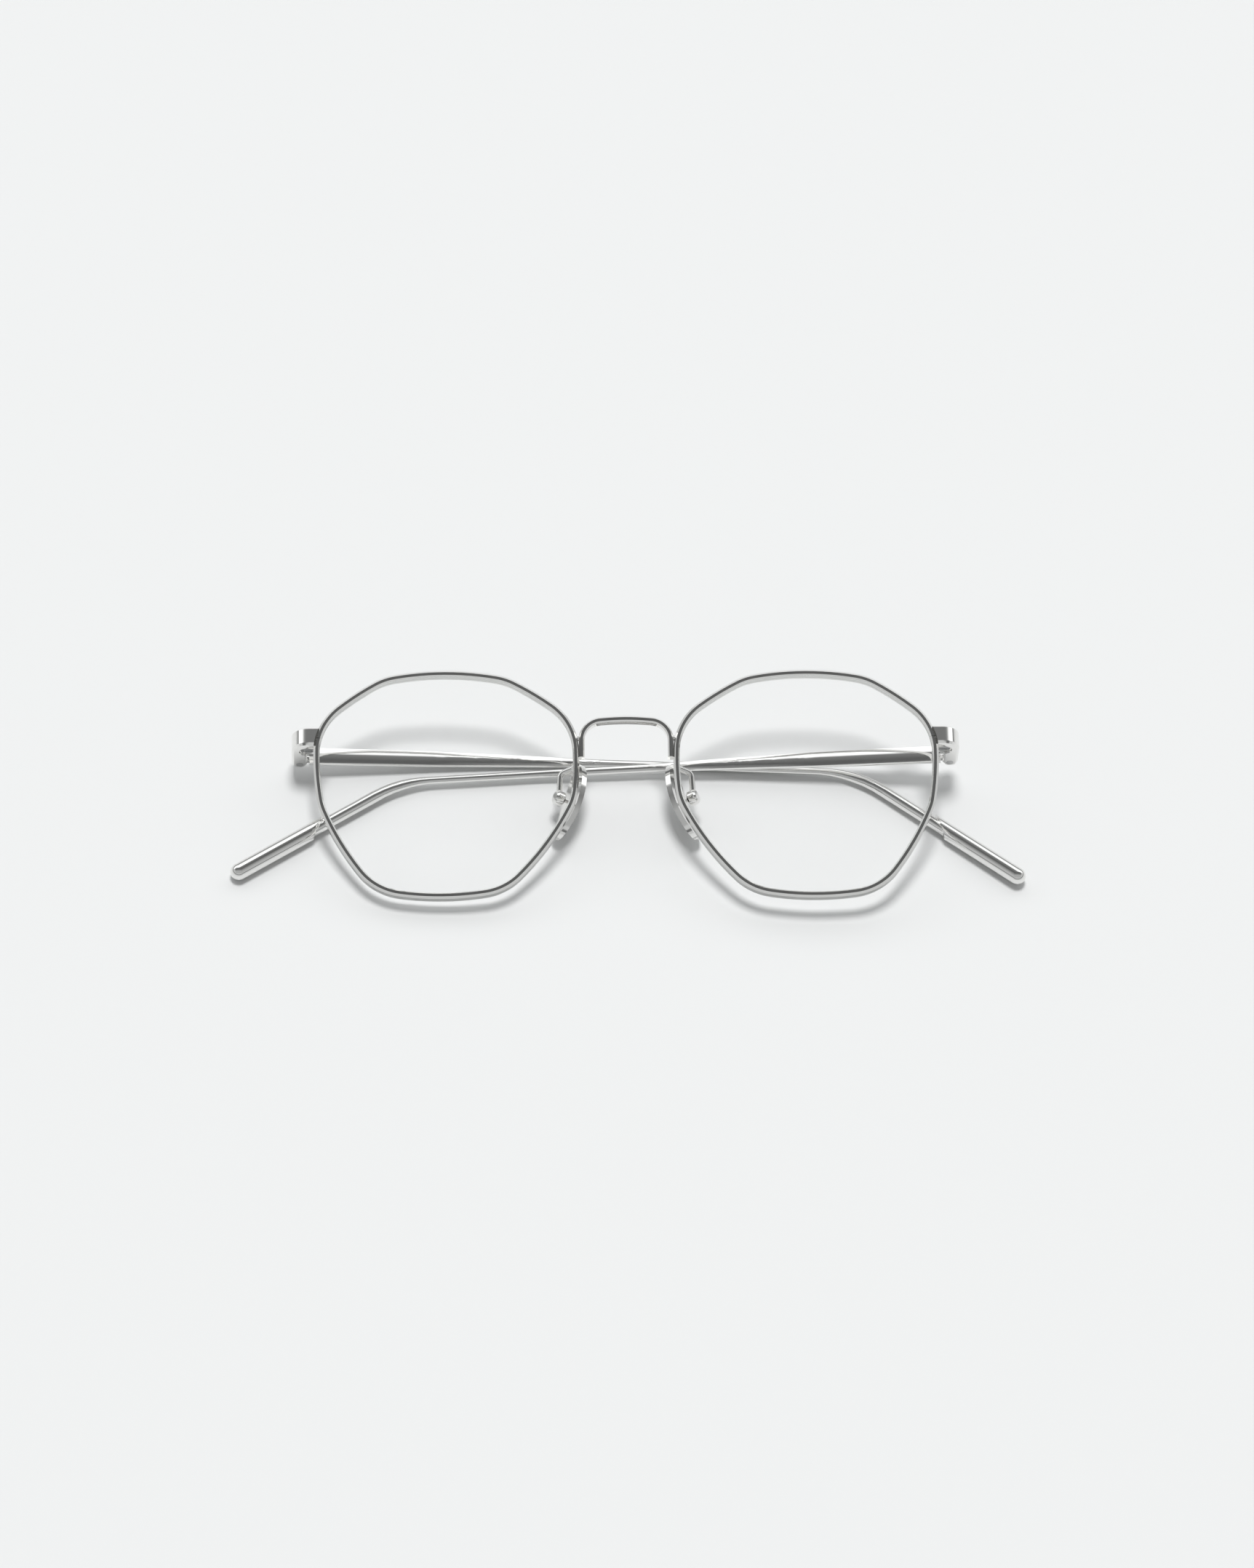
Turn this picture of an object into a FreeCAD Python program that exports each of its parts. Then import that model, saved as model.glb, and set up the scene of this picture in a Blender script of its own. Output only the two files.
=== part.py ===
import FreeCAD, Part
import math
import os
import Sketcher
from types import SimpleNamespace
from FreeCAD import Placement, Rotation, Vector

# Octagonal metal eyeglasses, folded and lying face up, in millimetres.
#
# The front frame is where most pieces are drawn: X to the wearer's left, Y to the brow, Z out of
# the front, with the faces of both rims at Z = 0. The hinge frame sits on each temple's pivot,
# tipped by the pantoscopic angle, so that its Y is the pivot's own direction. The pad frame sits
# in the ball of each nose pad. The whole front frame is then tilted and rolled to the way the
# folded pair comes to rest on a table, with the lowest point at Z = 0.
# Left and right are the wearer's, side 1 and side -1.

SIZES = [
    # lens outline
    ("lens_width", 49.0, "boxed width of one lens"),
    ("lens_height", 44.5, "boxed height of one lens"),
    ("bridge_gap", 20.0, "distance between the lenses"),
    ("top_flat", 23.0, "corner to corner along the top"),
    ("bottom_flat", 24.2, "corner to corner along the bottom"),
    ("bottom_shift", 1.1, "bottom flat's middle, towards the temple"),
    ("top_inset", 1.1, "top corners below the boxed height"),
    ("bottom_inset", 1.5, "bottom corners above the boxed height"),
    ("nasal_inset", 0.3, "nose side corners inside the boxed width"),
    ("temporal_upper_inset", 0.5, "upper temple side corner inside the boxed width"),
    ("temporal_lower_inset", 1.1, "lower temple side corner inside the boxed width"),
    ("nasal_shoulder", 12.5, "upper nose side corner above the middle"),
    ("temporal_shoulder", 12.0, "upper temple side corner above the middle"),
    ("nasal_hip", 2.7, "lower nose side corner below the middle"),
    ("temporal_hip", 4.1, "lower temple side corner below the middle"),
    ("side_bow_radius", 54.0, "radius of the eight bowed sides"),
    ("corner_radius", 11.3, "radius of the eight corners"),
    # lens
    ("lens_front_radius", 180.0, "front surface of the lens"),
    ("lens_thickness", 1.7, "lens through its middle"),
    ("lens_dome", 2.35, "lens middle in front of the groove's middle"),
    ("bevel_height", 0.45, "V bevel of the lens edge"),
    ("bevel_half_width", 0.4, "half the bevel's foot"),
    # rim
    ("rim_depth", 1.9, "rim wire from face to back"),
    ("rim_wall", 0.8, "rim outside the lens outline"),
    ("rim_lip", 0.42, "rim inside the lens outline"),
    ("rim_face_bevel", 0.4, "polished bevel outside the face"),
    ("rim_inner_bevel", 0.28, "polished bevel inside the face"),
    ("groove_clearance", 0.04, "groove bottom to lens bevel"),
    ("rim_split", 0.08, "cut through the rim at the closing barrel"),
    # bridge
    ("bridge_leg_gap", 1.5, "middle of a bridge leg outside the lens box"),
    ("bridge_shoulder_y", 12.75, "height where the legs turn into the arch"),
    ("bridge_crown_y", 13.45, "height of the arch's middle"),
    ("bridge_foot_y", 5.6, "lowest end of the legs"),
    ("bridge_thickness", 1.1, "bar as seen from the front"),
    ("bridge_depth", 2.0, "bar from front to back"),
    ("bridge_setback", 0.15, "bar behind the rim faces"),
    ("bridge_corner", 4.0, "radius of the arch's corners"),
    ("bridge_crown_radius", 40.0, "radius of the arch's crown"),
    ("bridge_bevel", 0.28, "bevels along the bar's edges"),
    ("nub_y", 9.6, "height of the solder nub"),
    ("nub_radius", 0.5, "solder nub between leg and rim"),
    # hinge and end piece
    ("hinge_outset", 3.25, "pivot outside the lens box"),
    ("hinge_y", 8.8, "pivot's middle above the lens middle"),
    ("hinge_depth", 8.2, "pivot behind the rim faces"),
    ("pantoscopic_angle", 8.0, "pivot's tip from the front plane, degrees"),
    ("barrel_radius", 1.4, "rear end of the end piece"),
    ("outer_wall", 1.5, "end piece's outer face from the pivot"),
    ("end_piece_height", 3.7, "end piece along the pivot"),
    ("end_piece_front", 8.35, "end piece's face in front of the pivot"),
    ("end_piece_leaf", 1.55, "front part of the end piece, face to back"),
    ("end_piece_reach", 4.2, "end piece inwards of the pivot"),
    ("end_piece_corner", 3.2, "radius where it wraps back"),
    ("end_piece_bevel", 0.4, "bevels round its upper and lower faces"),
    ("tongue_height", 0.74, "one hinge tongue of the temple"),
    ("tongue_radius", 1.05, "round end of a tongue"),
    ("tongue_neck", 1.0, "thickness of a tongue's neck"),
    ("tongue_pitch", 1.48, "distance between the two tongues"),
    ("leaf_clearance", 0.05, "running gap on each face of a tongue"),
    ("slot_clearance", 0.1, "running gap round the end of a tongue"),
    ("hinge_screw_radius", 0.6, "shank of the hinge screw"),
    ("hinge_head_radius", 0.95, "head of the hinge screw"),
    ("hinge_head_height", 0.4, "head of the hinge screw"),
    ("screw_clearance", 0.04, "running gap round a screw shank"),
    ("driver_slot_width", 0.3, "slot in a screw head"),
    ("driver_slot_depth", 0.2, "slot in a screw head"),
    # closing barrel
    ("lock_outset", 1.87, "closing barrel outside the lens box"),
    ("lock_depth", 2.95, "closing barrel behind the rim faces"),
    ("lock_split_y", 9.5, "where the barrel and the rim are split"),
    ("lock_radius", 1.43, "closing barrel"),
    ("lock_upper_length", 1.7, "upper half of the barrel"),
    ("lock_lower_length", 1.6, "lower half of the barrel"),
    ("lock_gap", 0.08, "closed gap between the halves"),
    ("lock_web_reach", 2.3, "barrel's web inwards of its axis, behind the rim"),
    ("lock_web_front", 1.6, "front of the web behind the rim faces"),
    ("lock_web_back", 3.2, "back of the web behind the rim faces"),
    ("lock_screw_radius", 0.55, "shank of the closing screw"),
    ("lock_head_radius", 1.05, "head of the closing screw"),
    ("lock_head_height", 0.5, "head of the closing screw"),
    ("thread_fit", 0.02, "closing screw in the upper half"),
    # temple
    ("temple_shoulder", 1.75, "start of the temple's full section from the pivot"),
    ("temple_root_height", 3.6, "temple at the shoulder"),
    ("temple_root_thickness", 1.4, "temple at the shoulder"),
    ("temple_broad_end", 25.0, "end of the broad part"),
    ("temple_broad_height", 3.3, "temple there"),
    ("temple_taper_end", 58.0, "end of the taper"),
    ("temple_slim_height", 1.7, "temple there"),
    ("temple_strip_thickness", 1.25, "temple from the broad part on"),
    ("temple_neck_height", 1.45, "slimmest height, before the bend"),
    ("bend_start", 99.4, "start of the bend from the pivot"),
    ("bend_radius", 22.0, "middle line of the bend"),
    ("bend_angle_left", 34.5, "left temple's end below its start, degrees"),
    ("bend_angle_right", 38.9, "right temple's end below its start, degrees"),
    ("bend_height", 2.0, "temple in the middle of the bend"),
    ("bend_thickness", 1.6, "temple in the middle of the bend"),
    ("wire_radius", 1.15, "round wire behind the ear"),
    ("temple_drop_left", 4.2, "fall of the left middle line from pivot to bend, as adjusted"),
    ("temple_drop_right", 1.05, "fall of the right middle line from pivot to bend, as adjusted"),
    ("temple_arch", 1.3, "middle line above its chord, halfway to the bend"),
    ("temple_bow_radius", 630.0, "bow of the temple towards the head"),
    ("temple_end", 31.3, "straight wire from the bend to the tip's round end"),
    ("fold_left", 5.8, "left temple folded, from the front plane, degrees"),
    ("fold_right", 7.4, "right temple folded, from the front plane, degrees"),
    # temple tip
    ("tip_radius", 1.65, "round metal sleeve"),
    ("tip_length", 20.5, "sleeve up to its round end"),
    ("tip_cut_length", 4.5, "slant of the sleeve's start"),
    ("tip_bore_depth", 14.0, "wire inside the sleeve"),
    ("tip_fit", 0.02, "gap between wire and sleeve"),
    # nose pads
    ("pad_inset", 2.8, "pad ball inside the lens box, seen from the front"),
    ("pad_y", -0.95, "pad ball above the lens middle"),
    ("pad_depth", 5.4, "pad ball behind the rim faces"),
    ("pad_frontal_angle", 18.0, "pads closer at the top, degrees"),
    ("pad_splay_angle", 24.0, "pads closer at the front, degrees"),
    ("pad_half_length", 7.9, "pad plate"),
    ("pad_half_width", 3.7, "pad plate"),
    ("pad_thickness", 1.0, "pad plate"),
    ("pad_standoff", 2.6, "ball's centre to the plate"),
    ("pad_dome_radius", 30.0, "bow of the plate"),
    ("pad_ball_radius", 0.8, "ball of the pad"),
    ("pad_stem_radius", 0.35, "stem between ball and plate"),
    ("cup_radius", 1.45, "round cup"),
    ("cup_half_height", 0.95, "cup before and behind the ball's middle"),
    ("cup_bevel", 0.35, "bevel of the cup's edges"),
    ("cup_clearance", 0.05, "ball to cup"),
    ("cup_mouth_radius", 0.65, "opening of the cup for the stem"),
    ("cup_lip_start", 0.7, "inside of the cup's lip from the ball's middle"),
    ("arm_radius", 0.55, "pad arm wire"),
    ("arm_foot_inset", -0.4, "arm's foot inside the lens box, seen from the front"),
    ("arm_foot_y", 4.9, "arm's foot on the rim above the lens middle"),
    ("arm_reach", 2.5, "arm straight back from the rim"),
    ("arm_elbow_inset", 2.5, "arm's elbow inside the lens box, seen from the front"),
    ("arm_elbow_y", 4.0, "arm's elbow above the lens middle"),
    ("arm_bend", 1.2, "radius of the arm's bends"),
    # how the folded pair lies on a table
    ("rest_tilt", 15.12, "front's brow side up, degrees"),
    ("rest_roll", 1.42, "front's left side up, degrees"),
]

SIDES = {"left": 1, "right": -1}
BEND_STEPS = 6

doc = FreeCAD.newDocument("Eyeglasses")
nodes = {}
frames = {}


def read_sizes():
    """Put the sizes in a spreadsheet and read them back by name."""
    sheet = doc.addObject("Spreadsheet::Sheet", "Sizes")
    for row, (alias, value, note) in enumerate(SIZES, 1):
        sheet.set("A%d" % row, note)
        sheet.set("B%d" % row, str(value))
        sheet.setAlias("B%d" % row, alias)
    doc.recompute()
    return SimpleNamespace(**{alias: float(sheet.get(alias)) for alias, _, _ in SIZES})


def bind(thing, **expressions):
    """Tie properties of an object to cells of the sheet."""
    for name, expression in expressions.items():
        thing.setExpression(name, expression)
    return thing


def keep(name, thing, frame=Placement()):
    """Name a finished piece and note the frame that it is drawn in."""
    thing.Label = name
    nodes[name] = thing
    frames[name] = frame
    return thing


# Small builders that the pieces share

def cylinder(name, radius, height, frame):
    """A cylinder along its frame's Z, its radius and height given as expressions."""
    solid = doc.addObject("Part::Cylinder", name)
    bind(solid, Radius=radius, Height=height)
    solid.Placement = frame
    return solid


def ball(name, radius, centre):
    """A sphere with its poles along Y, away from the caps that the pieces use."""
    solid = doc.addObject("Part::Sphere", name)
    bind(solid, Radius=radius)
    solid.Placement = Placement(centre, Rotation(Vector(1, 0, 0), 90))
    return solid


def block(name, length, width, height, frame):
    solid = doc.addObject("Part::Box", name)
    bind(solid, Length=length, Width=width, Height=height)
    solid.Placement = frame
    return solid


def fuse(name, pieces):
    joined = doc.addObject("Part::MultiFuse", name)
    joined.Shapes = pieces
    return joined


def cut(name, base, tool):
    left_over = doc.addObject("Part::Cut", name)
    left_over.Base = base
    left_over.Tool = tool
    return left_over


def shaped(name, shape, frame=Placement()):
    """An object whose shape is made by code, placed afterwards."""
    thing = doc.addObject("Part::Feature", name)
    thing.Shape = shape
    thing.Placement = frame
    return thing


def new_body(name):
    return doc.addObject("PartDesign::Body", name)


def new_sketch(body, name, role, offset=Placement()):
    """A sketch on one of the body's own origin planes."""
    plane = [item for item in body.Origin.OriginFeatures if item.Role == role][0]
    sketch = body.newObject("Sketcher::SketchObject", name)
    sketch.AttachmentSupport = [(plane, "")]
    sketch.MapMode = "FlatFace"
    sketch.AttachmentOffset = offset
    return sketch


def driven_polygon(sketch, points):
    """A closed polygon whose corners are pairs of expressions."""
    places = [Vector(sketch.evalExpression(across), sketch.evalExpression(up), 0)
              for across, up in points]
    count = len(points)
    for index in range(count):
        sketch.addGeometry(Part.LineSegment(places[index], places[(index + 1) % count]), False)
    for index in range(count):
        sketch.addConstraint(
            Sketcher.Constraint("Coincident", index, 2, (index + 1) % count, 1))
    for index, (across, up) in enumerate(points):
        for kind, value, expression in (("DistanceX", places[index].x, across),
                                        ("DistanceY", places[index].y, up)):
            number = sketch.addConstraint(Sketcher.Constraint(kind, -1, 1, index, 1, value))
            constraint_name = "%s_%d" % (kind, index)
            sketch.renameConstraint(number, constraint_name)
            sketch.setExpression("Constraints." + constraint_name, expression)


def revolved(body, sketch, name):
    """Turn a profile on the body's XZ plane about the body's Z axis."""
    turned = body.newObject("PartDesign::Revolution", name)
    turned.Profile = sketch
    turned.ReferenceAxis = (sketch, ["V_Axis"])
    turned.Angle = 360
    return turned


def rounded_run(points, radii, closed=False):
    """Straight lines through the points, each inner corner rounded by its radius."""
    count = len(points)
    arcs = {}
    inner = range(count) if closed else range(1, count - 1)
    for index in [corner for corner in inner if radii[corner] > 0]:
        corner = points[index]
        before = (points[index - 1] - corner).normalize()
        after = (points[(index + 1) % count] - corner).normalize()
        half = before.getAngle(after) / 2
        reach = radii[index] / math.tan(half)
        inwards = (before + after).normalize()
        middle = corner + inwards * (radii[index] / math.sin(half) - radii[index])
        arcs[index] = (corner + before * reach, middle, corner + after * reach)
    edges = []
    for index in range(count if closed else count - 1):
        following = (index + 1) % count
        start = arcs[index][2] if index in arcs else points[index]
        end = arcs[following][0] if following in arcs else points[following]
        if start.distanceToPoint(end) > 1e-6:
            edges.append(Part.LineSegment(start, end))
        if following in arcs:
            edges.append(Part.Arc(*arcs[following]))
    return edges


# The lens outline, which rim, lens and everything soldered to the rim share

def octagon_corners():
    """Corners of the left lens's outline about its middle, counter-clockwise from the top left."""
    half_width = size.lens_width / 2
    half_height = size.lens_height / 2
    top = half_height - size.top_inset
    bottom = size.bottom_inset - half_height
    nasal = size.nasal_inset - half_width
    return [
        Vector(size.top_flat / 2, top),
        Vector(-size.top_flat / 2, top),
        Vector(nasal, size.nasal_shoulder),
        Vector(nasal, -size.nasal_hip),
        Vector(size.bottom_shift - size.bottom_flat / 2, bottom),
        Vector(size.bottom_shift + size.bottom_flat / 2, bottom),
        Vector(half_width - size.temporal_lower_inset, -size.temporal_hip),
        Vector(half_width - size.temporal_upper_inset, size.temporal_shoulder),
    ]


def direction(centre, place):
    return math.atan2(place.y - centre.y, place.x - centre.x)


def outline_arcs(side, offset):
    """Arcs of the outline moved outwards by offset, from the middle of the top side onwards.

    The centres are the same for every offset, so a groove and the lens edge stay parallel.
    """
    corners = octagon_corners()
    count = len(corners)
    bow = size.side_bow_radius
    side_centres = []
    for index, corner in enumerate(corners):
        following = corners[(index + 1) % count]
        along = following - corner
        inwards = Vector(-along.y, along.x).normalize()
        rise = math.sqrt(bow ** 2 - along.Length ** 2 / 4)
        side_centres.append((corner + following) / 2 + inwards * rise)
    corner_centres = []
    for index, corner in enumerate(corners):
        first, second = side_centres[index - 1], side_centres[index]
        between = second - first
        across = Vector(-between.y, between.x).normalize()
        reach = math.sqrt((bow - size.corner_radius) ** 2 - between.Length ** 2 / 4)
        choices = [(first + second) / 2 + across * sign * reach for sign in (1, -1)]
        corner_centres.append(min(choices, key=corner.distanceToPoint))
    arcs = []
    for index in range(count):
        centre = side_centres[index]
        start = direction(centre, corner_centres[index])
        end = direction(centre, corner_centres[(index + 1) % count])
        arcs.append([centre, bow + offset, start, end])
        turn = corner_centres[(index + 1) % count]
        start = direction(centre, turn)
        end = direction(side_centres[(index + 1) % count], turn)
        arcs.append([turn, size.corner_radius + offset, start, end])
    top_centre, top_radius, top_start, top_end = arcs[0]
    middle = math.pi / 2
    arcs = [[top_centre, top_radius, middle, top_end]] + arcs[1:]
    arcs.append([top_centre, top_radius, top_start, middle])
    if side < 0:
        arcs = [[Vector(-centre.x, centre.y), radius, math.pi - end, math.pi - start]
                for centre, radius, start, end in reversed(arcs)]
    for arc in arcs:
        while arc[3] < arc[2]:
            arc[3] += 2 * math.pi
    return arcs


def outline_geometry(side, offset):
    return [Part.ArcOfCircle(Part.Circle(centre, Vector(0, 0, 1), radius), start, end)
            for centre, radius, start, end in outline_arcs(side, offset)]


def outline_wire(side, offset, height):
    edges = [piece.toShape() for piece in outline_geometry(side, offset)]
    wire = Part.Wire(edges)
    wire.translate(Vector(0, 0, height))
    return wire


def outline_top(offset):
    """Height of the outline above the lens's middle, at its highest."""
    half_flat = size.top_flat / 2
    bow = size.side_bow_radius
    sag = bow - math.sqrt(bow ** 2 - half_flat ** 2)
    return size.lens_height / 2 - size.top_inset + sag + offset


def nose_side(inwards):
    """Distance from the centre to a place so far inside the nose side of the lens box."""
    return size.bridge_gap / 2 + inwards


def temple_side(outwards):
    """Distance from the centre to a place so far outside the temple side of the lens box."""
    return size.bridge_gap / 2 + size.lens_width + outwards


def lens_frame(side):
    return Placement(Vector(side * (size.lens_width + size.bridge_gap) / 2, 0, 0), Rotation())


def groove_middle():
    return -size.rim_depth / 2


def rim(name, side):
    """Grooved rim wire swept round the outline, split where the closing barrel sits."""
    body = new_body("Rim_" + name)
    path = new_sketch(body, "RimPath_" + name, "XY_Plane")
    path.addGeometry(outline_geometry(side, 0), False)
    section = new_sketch(body, "RimSection_" + name, "YZ_Plane")
    line = outline_top(0)
    half_groove = size.bevel_half_width + size.groove_clearance
    corners = [
        (-size.rim_lip, -size.rim_inner_bevel),
        (size.rim_inner_bevel - size.rim_lip, 0),
        (size.rim_wall - size.rim_face_bevel, 0),
        (size.rim_wall, -size.rim_face_bevel),
        (size.rim_wall, -size.rim_depth),
        (-size.rim_lip, -size.rim_depth),
        (-size.rim_lip, groove_middle() - half_groove),
        (size.groove_clearance, groove_middle()),
        (-size.rim_lip, groove_middle() + half_groove),
    ]
    places = [Vector(line + outwards, up, 0) for outwards, up in corners]
    for index, place in enumerate(places):
        section.addGeometry(Part.LineSegment(place, places[(index + 1) % len(places)]), False)
    doc.recompute()
    swept = body.newObject("PartDesign::AdditivePipe", "RimWire_" + name)
    swept.Profile = section
    swept.Spine = path
    swept.Mode = "Standard"
    split = new_sketch(body, "RimSplit_" + name, "XY_Plane")
    near, far = sorted((side * size.lens_width / 4, side * size.lens_width))
    low = size.lock_split_y - size.rim_split / 2
    high = size.lock_split_y + size.rim_split / 2
    frame_corners = [Vector(near, low), Vector(far, low), Vector(far, high), Vector(near, high)]
    for index, place in enumerate(frame_corners):
        split.addGeometry(Part.LineSegment(place, frame_corners[(index + 1) % 4]), False)
    doc.recompute()
    gap = body.newObject("PartDesign::Pocket", "RimGap_" + name)
    gap.Profile = split
    gap.Type = "ThroughAll"
    gap.Reversed = False
    body.Tip = gap
    keep("rim_" + name, body, lens_frame(side))


def rim_envelope(name, side):
    """The space that the rim's outside encloses, which trims all that is soldered to it."""
    wire = outline_wire(side, size.rim_wall, -size.rim_depth)
    solid = Part.Face(wire).extrude(Vector(0, 0, size.rim_depth + size.rim_wall))
    return shaped("RimEnvelope_" + name, solid, lens_frame(side))


def lens(name, side):
    """Meniscus lens: a bevelled edge and two sphere faces."""
    half = size.bevel_half_width
    middle = groove_middle()
    wires = [outline_wire(side, -size.bevel_height, middle - half),
             outline_wire(side, 0, middle),
             outline_wire(side, -size.bevel_height, middle + half)]
    lower = Part.makeLoft(wires[:2], True, True)
    upper = Part.makeLoft(wires[1:], True, True)
    tall = size.lens_thickness + size.lens_dome
    land = Part.Face(outline_wire(side, -size.bevel_height, middle - tall))
    edge = land.extrude(Vector(0, 0, 2 * tall)).fuse([lower, upper])
    bevelled = shaped("LensEdge_" + name, edge)
    front_pole = middle + size.lens_dome
    centre = Vector(0, 0, front_pole - size.lens_front_radius)
    front = ball("LensFront_" + name, "Sizes.lens_front_radius", centre)
    back = ball("LensBack_" + name, "Sizes.lens_front_radius - Sizes.lens_thickness", centre)
    meniscus = cut("LensMeniscus_" + name, front, back)
    trimmed = doc.addObject("Part::Common", "Lens_" + name)
    trimmed.Base = bevelled
    trimmed.Tool = meniscus
    keep("lens_" + name, trimmed, lens_frame(side))


def bridge(envelopes):
    """Arched bar swept from foot to foot, with solder nubs, trimmed against both rims."""
    body = new_body("BridgeBar")
    path = new_sketch(body, "BridgePath", "XY_Plane")
    bind(path, **{"AttachmentOffset.Base.z": "-Sizes.bridge_setback - Sizes.bridge_depth / 2"})
    leg = nose_side(-size.bridge_leg_gap)
    points = [Vector(-leg, size.bridge_foot_y), Vector(-leg, size.bridge_shoulder_y),
              Vector(0, size.bridge_crown_y),
              Vector(leg, size.bridge_shoulder_y), Vector(leg, size.bridge_foot_y)]
    radii = [0, size.bridge_corner, size.bridge_crown_radius, size.bridge_corner, 0]
    path.addGeometry(rounded_run(points, radii), False)
    section = new_sketch(body, "BridgeSection", "XZ_Plane")
    bind(section, **{"AttachmentOffset.Base.z": "-Sizes.bridge_foot_y"})
    near = "-Sizes.bridge_gap / 2 + Sizes.bridge_leg_gap + Sizes.bridge_thickness / 2"
    far = "-Sizes.bridge_gap / 2 + Sizes.bridge_leg_gap - Sizes.bridge_thickness / 2"
    front = "-Sizes.bridge_setback"
    back = "-Sizes.bridge_setback - Sizes.bridge_depth"
    bevel = "Sizes.bridge_bevel"
    driven_polygon(section, [
        (far, "%s + %s" % (back, bevel)), ("%s + %s" % (far, bevel), back),
        ("%s - %s" % (near, bevel), back), (near, "%s + %s" % (back, bevel)),
        (near, "%s - %s" % (front, bevel)), ("%s - %s" % (near, bevel), front),
        ("%s + %s" % (far, bevel), front), (far, "%s - %s" % (front, bevel))])
    doc.recompute()
    swept = body.newObject("PartDesign::AdditivePipe", "BridgeSweep")
    swept.Profile = section
    swept.Spine = path
    body.Tip = swept
    nubs = []
    for name, side in SIDES.items():
        foot = Vector(side * leg, size.nub_y, -size.bridge_setback - size.bridge_depth / 2)
        along = Rotation(Vector(0, 0, 1), Vector(side, 0, 0))
        nubs.append(cylinder("BridgeNub_" + name, "Sizes.nub_radius",
                             "Sizes.bridge_thickness + Sizes.nub_radius", Placement(foot, along)))
    bar = fuse("BridgeWithNubs", [body] + nubs)
    keep("bridge", cut("Bridge", bar, fuse("BridgeTrim", envelopes)))


def hinge_frame(side):
    """Frame on the pivot: Y along the pivot, Z towards the front."""
    place = Vector(side * temple_side(size.hinge_outset), size.hinge_y, -size.hinge_depth)
    return Placement(place, Rotation(Vector(1, 0, 0), -size.pantoscopic_angle))


def along_pivot(side, height):
    """Frame on the pivot, a height above its middle, with Z along the pivot."""
    upright = Rotation(Vector(1, 0, 0), -90)
    return hinge_frame(side).multiply(Placement(Vector(0, height, 0), upright))


def along_lock(side, height):
    """Frame on the closing barrel's axis, a height above the lens's middle, with Z upwards."""
    place = Vector(side * temple_side(size.lock_outset), height, -size.lock_depth)
    return Placement(place, Rotation(Vector(1, 0, 0), -90))


def lock_form(name, side, foot, length, swell="0"):
    """Stretch of the closing barrel from its foot upwards, with its web to the rim's back."""
    barrel = cylinder("LockBarrel_" + name, "Sizes.lock_radius + " + swell, length,
                      along_lock(side, foot))
    near = side * temple_side(size.lock_outset) - (size.lock_web_reach if side > 0 else 0)
    corner = Placement(Vector(near, foot, -size.lock_web_back), Rotation())
    web = block("LockWeb_" + name, "Sizes.lock_web_reach", length,
                "Sizes.lock_web_back - Sizes.lock_web_front + " + swell, corner)
    return fuse("LockForm_" + name, [barrel, web])


def tongue_slots(name, side):
    """The two slots of the end piece in which the temple's tongues turn."""
    slots = []
    room = "Sizes.tongue_height + 2 * Sizes.leaf_clearance"
    for level, middle in (("upper", 1), ("lower", -1)):
        foot = middle * size.tongue_pitch / 2 - size.tongue_height / 2 - size.leaf_clearance
        slots.append(cylinder("SlotRound_%s_%s" % (level, name),
                              "Sizes.tongue_radius + Sizes.slot_clearance", room,
                              along_pivot(side, foot)))
        half_neck = size.tongue_neck / 2 + size.slot_clearance
        reach = size.outer_wall + size.barrel_radius
        start = -reach if side > 0 else -half_neck
        corner = Placement(Vector(start, foot, -reach), Rotation())
        slots.append(block("SlotMouth_%s_%s" % (level, name),
                           "Sizes.outer_wall + Sizes.barrel_radius + Sizes.tongue_neck / 2"
                           " + Sizes.slot_clearance", room,
                           "Sizes.outer_wall + Sizes.barrel_radius + Sizes.tongue_neck / 2"
                           " + Sizes.slot_clearance",
                           hinge_frame(side).multiply(corner)))
    return slots


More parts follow.
